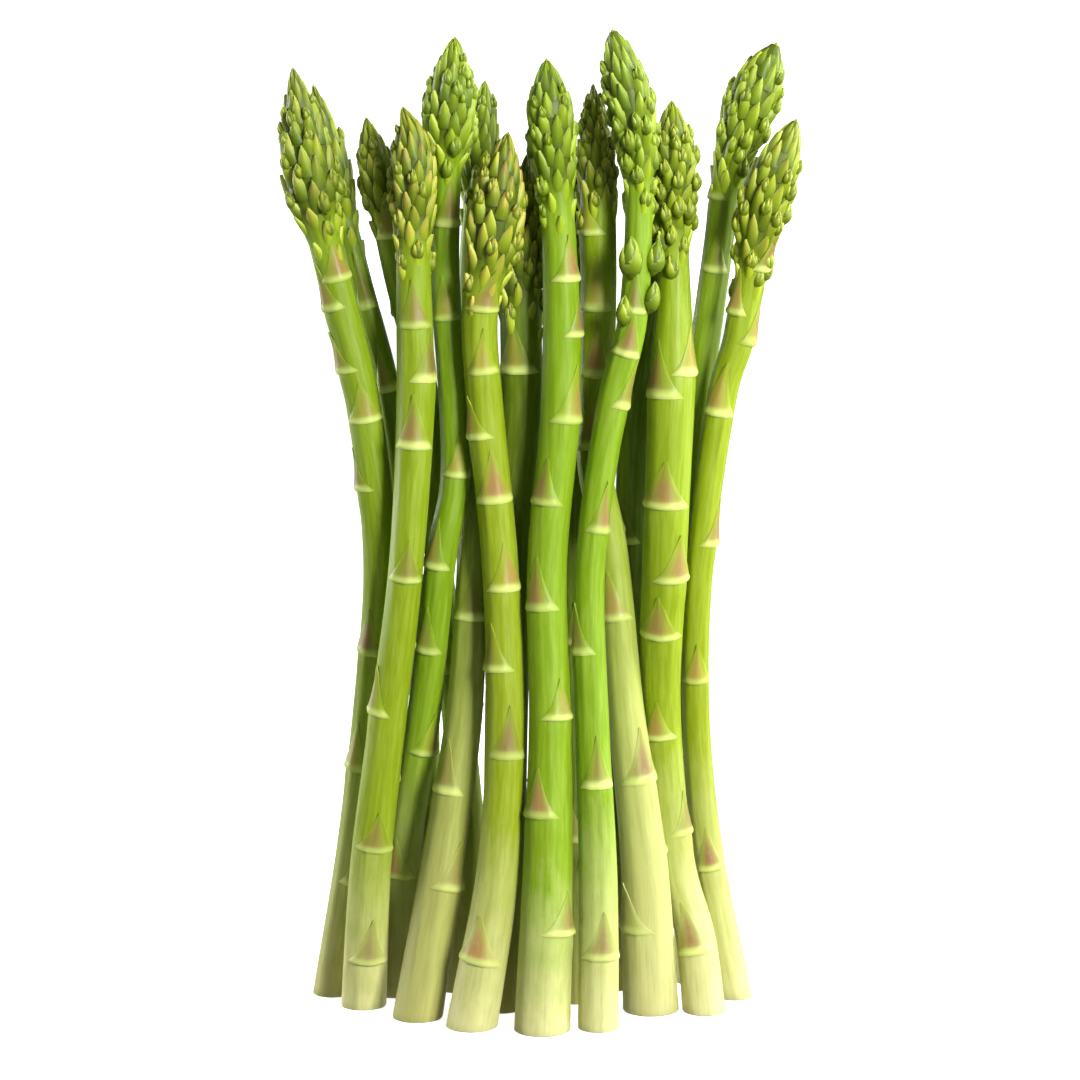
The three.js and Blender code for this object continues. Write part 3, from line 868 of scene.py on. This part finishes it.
def add_head(skin, spear):
    """The scales of the head in a spiral, and a bud in the axil of many a lower one."""
    length, rows = spear.head["length"], spear.head["rows"]
    loose, tan = spear.facts["look"]["loose"], spear.facts["look"]["tan"]
    rng = np.random.default_rng(HEAD_SEED + spear.number)
    count = SCALES_A_ROW * rows
    for i in range(count):
        share = SPIRAL_FIRST + (SPIRAL_LAST - SPIRAL_FIRST) * (i / (count - 1)) ** SPIRAL_CROWDING
        closing = float(np.clip(share, 0, 1))
        direction = i * GOLDEN_TURN + spear.number * SPEAR_TURN + rng.uniform(*SCALE_VARIES["turn"])
        foot = spear.neck + share * length
        reach = SCALE_LOW * (1 - closing) + SCALE_HIGH * closing
        tip = min(foot + reach * rng.uniform(*SCALE_VARIES["reach"]), spear.top)
        radius = float(spear.radius_at(np.array((foot + tip) / 2)))
        half_width = SCALE_HALF_LOW * (1 - closing) + SCALE_HALF_HIGH * closing
        span = min(math.degrees(half_width / radius), SCALE_WIDEST)
        has_bud = closing < BUDS_UP_TO and rng.uniform() < BUD_CHANCE + BUD_CHANCE_LOOSE * loose
        open_share = loose * (1 - closing / BUDS_UP_TO) if has_bud else 0.0
        look = scale_look(HEAD_SCALE_SIZE, i, tan, rng)
        # Scales that start below the neck, on the stem, get no painted shade at their feet.
        look["shade"] = smoothstep(share, -LOW_LIFT_SHARE, LOW_LIFT_SHARE)
        look["variety"] *= LOW_VARIETY + (1 - LOW_VARIETY) * look["shade"]
        lift = rng.uniform(*SCALE_VARIES["lift"]) * (1 - LIFT_LOST * closing) + OPEN_LIFTS * open_share
        lift += LOW_LIFT * min(max(-share / LOW_LIFT_SHARE, 0), 1)
        bulge = rng.uniform(*SCALE_VARIES["bulge"]) * (1 - closing) + (BULGE_OVER_BUD if has_bud else 0.0)
        span = span * (1 - OPEN_NARROWS * open_share)
        add_scale(skin, spear, foot, tip, direction, span, lift, bulge, look)
        if has_bud:
            bud_radius = rng.uniform(*BUD_VARIES["radius"]) * (1 - BUD_SHRINKS * closing)
            bud_radius = bud_radius * (BUD_TIGHT + BUD_LOOSE * loose)
            bud_tip = tip + rng.uniform(*BUD_VARIES["beyond"]) * (BUD_BEYOND + loose)
            middle = bud_tip - BUD_STRETCH * bud_radius
            turn = math.radians(direction + rng.uniform(*BUD_VARIES["turn"]))
            add_bud(skin, Bud(spear, middle, turn, bud_radius, AXIL_LEAN, -BUD_SUNK), tan, rng)


def add_bud(skin, bud, tan, rng):
    """A bud: a core with a few small scales that close to a point."""
    heights = np.linspace(0, bud.length * BUD_CORE_TOP, BUD_CORE_RINGS)[:, None]
    turn = np.linspace(0, 2 * math.pi, BUD_CORE_SIDES, endpoint=False)[None, :]
    core = bud.place(turn, bud.radius_at(heights) * CORE_SHARE, heights)
    grain = core * BUD_GRAIN
    # The bud's core gets painted shade, as the core of the head does.
    skin.add_tube(core, grain, height=1.0, leaf=HEAD_GREEN, shade=BUD_SHADE, variety=rng.uniform())
    start = rng.uniform(0, 360)
    for row in range(BUD_SCALE_ROWS):
        closing = (row + 1) / BUD_SCALE_ROWS
        tip = bud.length * (BUD_SCALE_FIRST + (1 - BUD_SCALE_FIRST) * closing)
        foot = max(tip - bud.length * BUD_SCALE_LENGTH, 0)
        for scale in range(SCALES_ROUND):
            look = scale_look(BUD_SCALE_SIZE, row * SCALES_ROUND + scale, tan, rng)
            direction = start + scale * 360 / SCALES_ROUND + row * ROW_TURN
            direction = direction + rng.uniform(*BUD_SCALE_TURN)
            sits = (BUD_SCALE_SPAN, BUD_SCALE_LIFT, BUD_SCALE_BULGE)
            add_scale(skin, bud, foot, tip, direction, *sits, look)


def linear(colour):
    """Linear red, green, blue and alpha of a web colour, by the usual curve between the two."""
    parts = [int(colour[k : k + 2], 16) / 255 for k in (1, 3, 5)]
    return tuple(((c + 0.055) / 1.055) ** 2.4 if c > 0.04045 else c / 12.92 for c in parts) + (1.0,)


def between(first, second, share):
    return tuple(a + (b - a) * share for a, b in zip(first, second))


class Nodes:
    """Builds the nodes of one material."""

    def __init__(self, name):
        self.material = bpy.data.materials.new(name)
        self.material.use_nodes = True
        self.tree = self.material.node_tree
        self.tree.nodes.clear()

    def add(self, kind, **settings):
        node = self.tree.nodes.new(kind)
        for name, value in settings.items():
            setattr(node, name, value)
        return node

    def feed(self, socket, value):
        if isinstance(value, bpy.types.NodeSocket):
            self.tree.links.new(value, socket)
        else:
            socket.default_value = value

    def mark(self, name):
        return self.add("ShaderNodeAttribute", attribute_name=name).outputs["Fac"]

    def maths(self, operation, first, second):
        node = self.add("ShaderNodeMath", operation=operation)
        self.feed(node.inputs[0], first)
        self.feed(node.inputs[1], second)
        return node.outputs[0]

    def mix(self, share, first, second):
        node = self.add("ShaderNodeMix", data_type="RGBA")
        self.feed(node.inputs[0], share)
        self.feed(node.inputs[6], first)
        self.feed(node.inputs[7], second)
        return node.outputs[2]

    def scaled(self, vector, scale):
        node = self.add("ShaderNodeVectorMath", operation="MULTIPLY")
        self.feed(node.inputs[0], vector)
        self.feed(node.inputs[1], scale)
        return node.outputs[0]

    def noise(self, vector, scale, detail, rough):
        node = self.add("ShaderNodeTexNoise")
        self.feed(node.inputs["Vector"], vector)
        self.feed(node.inputs["Scale"], scale)
        self.feed(node.inputs["Detail"], detail)
        self.feed(node.inputs["Roughness"], rough)
        return node.outputs["Fac"]

    def sharpen(self, value, low, high):
        """Stretches the part of a value between low and high over 0 to 1."""
        node = self.add("ShaderNodeMapRange")
        self.feed(node.inputs["Value"], value)
        self.feed(node.inputs["From Min"], low)
        self.feed(node.inputs["From Max"], high)
        return node.outputs["Result"]

    def ramp(self, value, stops):
        node = self.add("ShaderNodeValToRGB")
        self.feed(node.inputs["Fac"], value)
        elements = node.color_ramp.elements
        for place, colour in stops[1:-1]:
            elements.new(place).color = colour
        elements[0].position, elements[0].color = stops[0]
        elements[-1].position, elements[-1].color = stops[-1]
        return node.outputs["Color"]


# Colours of the skin
VIVID = linear("#719c09")
YELLOWED = linear("#9a9d14")
DEEP = linear("#344204")
PALE_FOOT = linear("#d3d08e")
OLIVE_FOOT = linear("#a5a458")
LEDGE = linear("#dbe884")
BLUSH = linear("#a87a4c")
PURPLE = linear("#7c5640")
TAN = linear("#ccb04a")
HEAD_LIGHT = linear("#adc620")
PAPERY = linear("#d3dd70")
CUT_FLESH = linear("#dfe2bd")
CUT_FIBRE = linear("#a9ad78")

# Grain of the skin: scale, detail and roughness of each noise, and how the grain is stretched for it
STREAK = (1.1, 4.0, 0.6)
FINE = (1.6, 3.0, 0.6)
FINE_STRETCH = (3.0, 3.0, 2.0)
BLOTCH = (1.0, 3.0, 0.55)
BLOTCH_STRETCH = (0.35, 0.35, 2.2)
FIBRE_SCALE = 1.3
FIBRE_EDGE = (0.12, 0.3)

# Heights as shares of the spear where the colour of the foot turns to green. The FOOT ones, all but the last,
# are shares of how high the stem is pale.
FOOT_TURNS = 0.35
FOOT_LOW = 0.8
FOOT_ENDS = 1.8
FOOT_ENDS_PAST = 0.03
UPPER_FROM = 0.8

# How the colours are laid over one another
UPPER_YELLOW = 0.8
LOW_PALE = 0.55
GREEN_DRIFT = 0.12
LIGHT_STREAKS = (0.45, 0.8)
DARK_STREAKS = (0.5, 0.2)
LIGHT_STREAK = 0.16
DARK_STREAK = 0.2
SCALE_LIGHT = 0.75
SCALE_DARK = 0.25
# How far the shade mark, painted shade in the heads, pulls the colour to DEEP
SHADE_DEPTH = 0.8
MARGIN_STRENGTH = 0.5
RIM_STRENGTH = 0.9
HEAD_MARK = (0.97, 1.0)
BLUSH_BREAKS = (0.1, 0.5)

# Relief, gloss and the light inside the skin. Distances are in metres.
BUMP_STREAK = 0.7
BUMP_FINE = 0.3
BUMP_STRENGTH = 0.35
BUMP_DISTANCE = 0.0003
ROUGH_LOW = 0.36
ROUGH_VARIES = 0.24
INNER_LIGHT = 0.12
INNER_COLOUR = (1.0, 1.4, 0.4)
INNER_REACH = 0.0012
SPECULAR = 0.28
COAT = 0.04
COAT_ROUGHNESS = 0.25


def make_skin_material(spear):
    """Waxy green skin: pale foot, streaked stem, blushed scale leaves with a pale ledge, scaly head."""
    look = spear.facts["look"]
    made = Nodes(spear.facts["name"] + "_skin")
    grain = made.add("ShaderNodeAttribute", attribute_name="grain").outputs["Vector"]
    streak = made.noise(grain, *STREAK)
    fine = made.noise(made.scaled(grain, FINE_STRETCH), *FINE)
    blotch = made.noise(made.scaled(grain, BLOTCH_STRETCH), *BLOTCH)

    # The share by which the spear is darkened pulls the stem to DEEP and the foot to olive: on the spears at
    # the back of the bundle it is painted shade.
    green = between(between(VIVID, YELLOWED, look["yellow"]), DEEP, look["dark_and_shaded"])
    upper = between(between(VIVID, YELLOWED, look["yellow"] * UPPER_YELLOW), DEEP, look["dark_and_shaded"])
    foot = between(PALE_FOOT, OLIVE_FOOT, look["dark_and_shaded"] + look["olive"])
    low = between(green, foot, LOW_PALE)
    drift = made.maths("MULTIPLY", made.maths("SUBTRACT", blotch, 0.5), GREEN_DRIFT)
    pale = look["pale"]
    stops = [
        (0.0, foot),
        (pale * FOOT_TURNS, between(foot, low, 0.5)),
        (pale * FOOT_LOW, low),
        (pale * FOOT_ENDS + FOOT_ENDS_PAST, green),
        (UPPER_FROM, upper),
    ]
    stem = made.ramp(made.maths("ADD", made.mark("height"), drift), stops)
    pale_streak = made.mix(LIGHT_STREAK, stem, LEDGE)
    lighter = made.mix(made.sharpen(streak, *LIGHT_STREAKS), stem, pale_streak)
    deep_streak = made.mix(DARK_STREAK, lighter, DEEP)
    stem = made.mix(made.sharpen(streak, *DARK_STREAKS), lighter, deep_streak)

    scale_light = between(upper, HEAD_LIGHT, SCALE_LIGHT)
    scale_dark = between(upper, DEEP, SCALE_DARK)
    scale_green = made.mix(made.mark("variety"), scale_light, scale_dark)
    leaf = made.mix(made.mark("leaf"), stem, scale_green)
    # Painted shade: the shade mark pulls the core and the overlapped feet of the scales towards DEEP.
    leaf = made.mix(made.maths("MULTIPLY", made.mark("shade"), SHADE_DEPTH), leaf, DEEP)
    blush_colour = made.mix(made.mark("variety"), BLUSH, PURPLE)
    head_colour = made.mix(made.mark("variety"), TAN, BLUSH)
    on_head = made.sharpen(made.mark("height"), *HEAD_MARK)
    blush_colour = made.mix(on_head, blush_colour, head_colour)
    blush = made.maths("MULTIPLY", made.mark("blush"), made.sharpen(fine, *BLUSH_BREAKS))
    leaf = made.mix(blush, leaf, blush_colour)
    leaf = made.mix(made.maths("MULTIPLY", made.mark("margin"), MARGIN_STRENGTH), leaf, PAPERY)
    leaf = made.mix(made.maths("MULTIPLY", made.mark("rim"), RIM_STRENGTH), leaf, LEDGE)

    cells = made.add("ShaderNodeTexVoronoi", feature="F1")
    made.feed(cells.inputs["Vector"], grain)
    made.feed(cells.inputs["Scale"], FIBRE_SCALE)
    flesh = made.mix(made.sharpen(cells.outputs["Distance"], *FIBRE_EDGE), CUT_FIBRE, CUT_FLESH)
    colour = made.mix(made.mark("cut"), leaf, flesh)

    coarse_relief = made.maths("MULTIPLY", streak, BUMP_STREAK)
    fine_relief = made.maths("MULTIPLY", fine, BUMP_FINE)
    bump_height = made.maths("ADD", coarse_relief, fine_relief)
    bump = made.add("ShaderNodeBump")
    made.feed(bump.inputs["Strength"], BUMP_STRENGTH)
    made.feed(bump.inputs["Distance"], BUMP_DISTANCE)
    made.feed(bump.inputs["Height"], bump_height)

    shader = made.add("ShaderNodeBsdfPrincipled")
    made.feed(shader.inputs["Base Color"], colour)
    roughness = made.maths("ADD", made.maths("MULTIPLY", fine, ROUGH_VARIES), ROUGH_LOW)
    made.feed(shader.inputs["Roughness"], roughness)
    made.feed(shader.inputs["Normal"], bump.outputs["Normal"])
    made.feed(shader.inputs["Subsurface Weight"], INNER_LIGHT)
    made.feed(shader.inputs["Subsurface Radius"], INNER_COLOUR)
    made.feed(shader.inputs["Subsurface Scale"], INNER_REACH)
    made.feed(shader.inputs["Specular IOR Level"], SPECULAR)
    made.feed(shader.inputs["Coat Weight"], COAT)
    made.feed(shader.inputs["Coat Roughness"], COAT_ROUGHNESS)
    output = made.add("ShaderNodeOutputMaterial")
    made.tree.links.new(shader.outputs["BSDF"], output.inputs["Surface"])
    return made.material


def make_spear(number, facts):
    spear = Spear(number, facts)
    skin = Skin()
    add_stem(skin, spear)
    for i, (ledge, direction) in enumerate(spear.leaves):
        add_stem_leaf(skin, spear, ledge, direction, i)
    add_head(skin, spear)
    rng = np.random.default_rng(BUD_SEED + number)
    for height, direction, radius in facts.get("buds", []):
        bud = Bud(spear, height, math.radians(direction), radius, LOOSE_LEAN)
        add_bud(skin, bud, facts["look"]["tan"], rng)
    piece = skin.make_object("grown_" + facts["name"])
    piece.data.materials.append(make_skin_material(spear))
    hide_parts(facts["name"])
    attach(piece, "root")


def add_sheet(name, corners, faces, glow):
    """A glowing white sheet of the studio. It isn't part of the bundle and doesn't light it."""
    mesh = bpy.data.meshes.new(name)
    mesh.from_pydata(corners, [], faces)
    sheet = bpy.data.objects.new(name, mesh)
    sheet.visible_diffuse = False
    sheet.visible_glossy = False
    sheet.visible_shadow = False
    bpy.context.scene.collection.objects.link(sheet)
    made = Nodes(name + "_white")
    shader = made.add("ShaderNodeBsdfPrincipled")
    made.feed(shader.inputs["Base Color"], linear(SHEET_WHITE))
    made.feed(shader.inputs["Roughness"], SHEET_ROUGHNESS)
    made.feed(shader.inputs["Emission Color"], (1, 1, 1, 1))
    made.feed(shader.inputs["Emission Strength"], glow)
    output = made.add("ShaderNodeOutputMaterial")
    made.tree.links.new(shader.outputs["BSDF"], output.inputs["Surface"])
    mesh.materials.append(made.material)


def make_studio():
    """A pale floor, and glowing white walls all round."""
    corners = [(ROOM_HALF * x, ROOM_HALF * y) for x, y in ((-1, -1), (1, -1), (1, 1), (-1, 1))]
    low = [(x, y, 0) for x, y in corners]
    high = [(x, y, ROOM_HEIGHT) for x, y in corners]
    add_sheet("floor", low, [(0, 1, 2, 3)], FLOOR_GLOW)
    walls = [(k, (k + 1) % 4, (k + 1) % 4 + 4, k + 4) for k in range(4)]
    add_sheet("walls", low + high, walls, WALL_GLOW)


def add_light(name, place, size, power):
    """A square soft light that faces the middle of the bundle. Place and size are in metres."""
    lamp = bpy.data.lights.new(name, "AREA")
    lamp.size = size
    lamp.energy = power
    light = bpy.data.objects.new(name, lamp)
    light.location = place
    facing = Vector((0, 0, AIM[2] * MM)) - Vector(place)
    light.rotation_euler = facing.to_track_quat("-Z", "Y").to_euler()
    bpy.context.scene.collection.objects.link(light)


def make_light():
    world = bpy.data.worlds.new("white_room")
    world.use_nodes = True
    world.node_tree.nodes["Background"].inputs["Color"].default_value = (1, 1, 1, 1)
    world.node_tree.nodes["Background"].inputs["Strength"].default_value = WORLD_STRENGTH
    bpy.context.scene.world = world
    for name, place, size, power in LIGHTS:
        add_light(name, place, size, power)
    bpy.context.scene.view_settings.view_transform = "Standard"


def make_camera():
    data = bpy.data.cameras.new("camera")
    data.lens = LENS
    data.sensor_width = SENSOR_WIDTH
    camera = bpy.data.objects.new("camera", data)
    rise = math.radians(CAMERA_ELEVATION)
    back = Vector((0, -math.cos(rise), math.sin(rise)))
    camera.location = (Vector(AIM) + back * CAMERA_DISTANCE) * MM
    camera.rotation_euler = (-back).to_track_quat("-Z", "Y").to_euler()
    data.clip_start = CLIP_NEAR
    data.clip_end = CLIP_FAR
    bpy.context.scene.collection.objects.link(camera)
    bpy.context.scene.camera = camera


make_camera()
make_studio()
make_light()
for number, facts in enumerate(SPEARS, 1):
    make_spear(number, facts)
